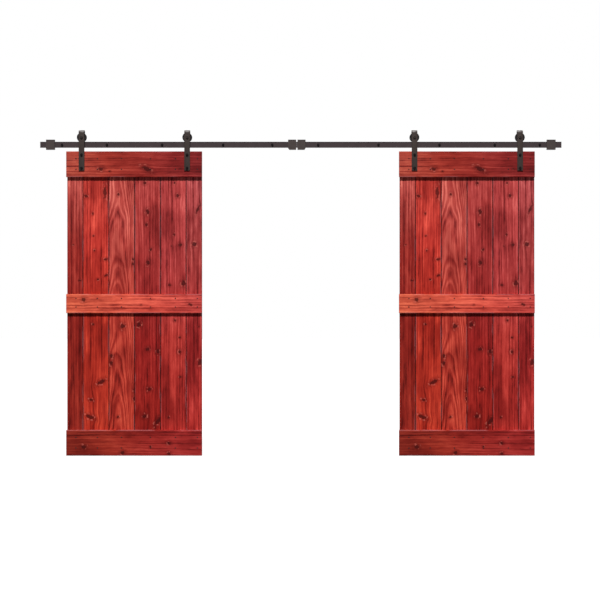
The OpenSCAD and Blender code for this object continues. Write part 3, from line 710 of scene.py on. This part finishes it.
def black_oxide(name, colour, metallic=0.6):
    """Hardened steel with a black oxide film, dipped and oiled: near black with a soft metallic gleam."""
    pale = [min(1, c * 2.2 + 0.004) for c in colour[:3]] + [1]
    return bare_or_oxidised(name, tuple(colour), pale, 300, (0.34, 0.50), metallic)


def turned_steel(name):
    """Bearing steel, turned and ground: bright grey with fine marks, about 1 mm apart."""
    return bare_or_oxidised(name, linear("#6f6f72"), linear("#a5a5a8"), 900, (0.25, 0.38), 1.0)


class BARN_OT_rail(bpy.types.Operator):
    """Finishes the rail with its spacers, stops and wall bolts"""
    bl_idname = "barn.rail"
    bl_label = "Rail and stops"

    def execute(self, context):
        steel = context.scene.barn_steel
        rail = powder_coat("powder_coat_rail", steel.rail, 0.8, RAIL_BOX[1].z)
        stop = powder_coat("powder_coat_stop", steel.stop, 0.6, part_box("left_end_stop")[1].z)
        paint(["rail_left", "rail_right", "wall_spacers"], rail)
        paint(["left_end_stop", "right_end_stop", "left_centre_stop", "right_centre_stop"], stop)
        oxide = black_oxide("black_oxide_wall_bolts", steel.fastener)
        paint(["wall_bolts", "wall_washers", "stop_screws"], oxide)
        paint(["rail_dowels"], turned_steel("turned_steel_dowels"))
        return {"FINISHED"}


class BARN_OT_hangers(bpy.types.Operator):
    """Models the bent strap hangers and finishes their bolts"""
    bl_idname = "barn.hangers"
    bl_label = "Hangers"

    def execute(self, context):
        steel = context.scene.barn_steel
        coat = powder_coat("powder_coat_strap", steel.strap)
        node = "left_outer_hanger"
        low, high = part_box(node)
        bend_r = (high.y - low.y) / 2
        bend_z = high.z - bend_r
        wheel_low, wheel_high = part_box("left_outer_wheel")
        axle_z = wheel_low.z / 2 + wheel_high.z / 2
        half = (high.x - low.x) / 2
        piece = start_box("left_outer_strap", low, Vector((high.x, low.y + STRAP_THICK, bend_z)))
        bpy.ops.object.mode_set(mode="EDIT")
        pick(piece, "faces", lambda f: f.normal.z > 0.9)
        bpy.ops.mesh.spin(steps=24, angle=math.pi, center=(0, RAIL_MID_Y, bend_z), axis=(1, 0, 0))
        bpy.ops.mesh.extrude_region_move(TRANSFORM_OT_translate={"value": (0, 0, axle_z - half - bend_z)})
        foot = axle_z - half
        pick(piece, "edges", lambda e: lies_along(e, 1) and abs(middle(e).z - foot) < NEAR)
        bpy.ops.mesh.bevel(offset=half - TOUCH, segments=12)
        pick(piece, "edges", lambda e: lies_along(e, 1) and abs(middle(e).z - low.z) < NEAR)
        bpy.ops.mesh.bevel(offset=1.5 * MM, segments=3)
        bpy.ops.mesh.select_all(action="SELECT")
        bpy.ops.mesh.remove_doubles(threshold=0.01 * MM)
        bpy.ops.mesh.normals_make_consistent(inside=False)
        bpy.ops.object.mode_set(mode="OBJECT")
        apply_modifier(piece, "BEVEL", width=0.6 * MM, segments=2, limit_method="ANGLE",
                       angle_limit=math.radians(50))
        smooth(piece)
        pieces = {("left", "outer"): piece}
        for side in SIDES:
            for place in PLACES:
                if (side, place) not in pieces:
                    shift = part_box(f"{side}_{place}_hanger")[0] - low
                    pieces[side, place] = copied(piece, f"{side}_{place}_strap", shift)
        for (side, place), strap in pieces.items():
            finish_piece(strap, f"{side}_door", f"{side}_{place}_hanger", coat)
        oxide = black_oxide("black_oxide_door_bolts", steel.fastener)
        for side in SIDES:
            bolts = ("hanger_bolts", "hanger_washers", "hanger_nuts", "axle_nuts")
            paint([f"{side}_{name}" for name in bolts], oxide)
        return {"FINISHED"}


class BARN_OT_wheels(bpy.types.Operator):
    """Finishes the grooved wheels, their axles and bearings"""
    bl_idname = "barn.wheels"
    bl_label = "Wheels"

    def execute(self, context):
        steel = context.scene.barn_steel
        coat = powder_coat("powder_coat_wheel", steel.wheel)
        bright = turned_steel("turned_steel_bearings")
        axle = powder_coat("powder_coat_axle_head", [c * 0.7 for c in steel.strap[:3]] + [1])
        for side in SIDES:
            paint([f"{side}_axle_bolts"], axle)
            paint([f"{side}_{n}" for n in ("axle_sleeves", "bearing_inner_rings", "bearing_balls")], bright)
            paint([f"{side}_{place}_wheel" for place in PLACES], coat)
            paint([f"{side}_{place}_wheel_bearing_ring" for place in PLACES], bright)
        return {"FINISHED"}


class BARN_OT_screws(bpy.types.Operator):
    """Finishes the countersunk screws of the battens"""
    bl_idname = "barn.screws"
    bl_label = "Batten screws"

    def execute(self, context):
        steel = context.scene.barn_steel
        oxide = black_oxide("black_oxide_screws", [c * 0.4 for c in steel.fastener[:3]] + [1], 0.0)
        paint([f"{side}_batten_screws" for side in SIDES], oxide)
        return {"FINISHED"}


# ---------------------------------------------------------------- floor, light and camera

FLOOR_SIDE = 60                             # metres
KEY_UP, BACK_UP = 58, 38                    # degrees that the lights stand above the level
CAMERA_X, CAMERA_Z = -0.0058, -1.0896       # the camera looks straight at this point of the doors' fronts
WIDTH_IN_VIEW = 4.206                       # metres that the image spans at the doors' fronts
SENSOR = 36.0

class BARN_OT_stage(bpy.types.Operator):
    """Lays the floor and sets the lights and the camera"""
    bl_idname = "barn.stage"
    bl_label = "Stage"

    def execute(self, context):
        stage = context.scene.barn_stage
        scene = context.scene
        deselect()
        bpy.ops.mesh.primitive_plane_add(size=FLOOR_SIDE, location=(0, 0, DOOR_BOTTOM - stage.floor_gap))
        floor = context.object
        floor.name = "floor"
        material, tree = new_material("painted_floor")
        node = partial(add, tree)
        patchy = node("TexNoise", sockets={"Vector": node("TexCoord")["Object"], "Scale": 2.0, "Detail": 3})[0]
        shade = [c * 0.97 for c in stage.floor[:3]] + [1]
        paint_colour = node("ValToRGB", patchy, stops=[(0.4, shade), (0.6, tuple(stage.floor))])[0]
        # Studio sweep: it glows to the camera alone, so that only a trace of shadow is left on it
        direct = node("LightPath")["Is Camera Ray"]
        glow = node("Math", direct, stage.floor_glow, operation="MULTIPLY")[0]
        shader = node("BsdfPrincipled", sockets={"Base Color": paint_colour, "Roughness": 0.8,
                                                 "Emission Color": (1, 1, 1, 1), "Emission Strength": glow})
        node("OutputMaterial", shader[0])
        floor.data.materials.append(material)

        world = bpy.data.worlds.new("pale_studio")
        scene.world = world
        world.use_nodes = True
        world.node_tree.nodes.clear()
        node = partial(add, world.node_tree)
        lit = node("Background", (1, 1, 1, 1), stage.fill)[0]
        seen = node("Background", (1, 1, 1, 1), 1.0)[0]
        both = node("MixShader", node("LightPath")["Is Camera Ray"], lit, seen)[0]
        node("OutputWorld", both)

        # The main light stands high in front, so that each batten throws a short shadow
        deselect()
        bpy.ops.object.light_add(type="SUN", location=(-3, -6, 6),
                                 rotation=(math.radians(90 - KEY_UP), 0, math.radians(-6)))
        key = context.object
        key.name = "key_light"
        key.data.energy = stage.key_power
        key.data.angle = math.radians(6)

        # Two lights behind, to either side, show the wall side of the rail, the wheels and the boards' backs
        for turn in (145, 215):
            deselect()
            bpy.ops.object.light_add(type="SUN", location=(0, 6, 5),
                                     rotation=(math.radians(90 - BACK_UP), 0, math.radians(turn)))
            context.object.data.energy = stage.back_power
            context.object.data.angle = math.radians(12)

        front = BATTEN_BOXES["top"][0].y
        bpy.ops.object.camera_add(location=(CAMERA_X, front - stage.distance, CAMERA_Z),
                                  rotation=(math.pi / 2, 0, 0))
        camera = context.object
        camera.data.sensor_width = SENSOR
        camera.data.lens = SENSOR * stage.distance / WIDTH_IN_VIEW
        camera.data.clip_end = 100
        bpy.context.scene.camera = camera
        scene.view_settings.view_transform = "Standard"
        return {"FINISHED"}


class BARN_PT_panel(bpy.types.Panel):
    bl_idname = "BARN_PT_panel"
    bl_label = "Barn door"
    bl_space_type = "VIEW_3D"
    bl_region_type = "UI"
    bl_category = "Barn door"

    def draw(self, context):
        scene = context.scene
        for settings in (scene.barn_wood, scene.barn_steel, scene.barn_stage):
            box = self.layout.box()
            for field in settings.__annotations__:
                box.prop(settings, field)
        for operator in OPERATORS:
            self.layout.operator(operator.bl_idname)


SETTINGS = (("barn_wood", WoodSettings), ("barn_steel", SteelSettings), ("barn_stage", StageSettings))
OPERATORS = (BARN_OT_boards, BARN_OT_battens, BARN_OT_screws, BARN_OT_rail, BARN_OT_hangers, BARN_OT_wheels,
             BARN_OT_stage)


def register():
    for name, settings in SETTINGS:
        bpy.utils.register_class(settings)
        setattr(bpy.types.Scene, name, PointerProperty(type=settings))
    for operator in OPERATORS:
        bpy.utils.register_class(operator)
    bpy.utils.register_class(BARN_PT_panel)


def unregister():
    bpy.utils.unregister_class(BARN_PT_panel)
    for operator in reversed(OPERATORS):
        bpy.utils.unregister_class(operator)
    for name, settings in reversed(SETTINGS):
        delattr(bpy.types.Scene, name)
        bpy.utils.unregister_class(settings)


def main():
    register()
    bpy.ops.barn.boards()
    bpy.ops.barn.battens()
    bpy.ops.barn.screws()
    bpy.ops.barn.rail()
    bpy.ops.barn.hangers()
    bpy.ops.barn.wheels()
    bpy.ops.barn.stage()


if __name__ == "__main__":
    main()
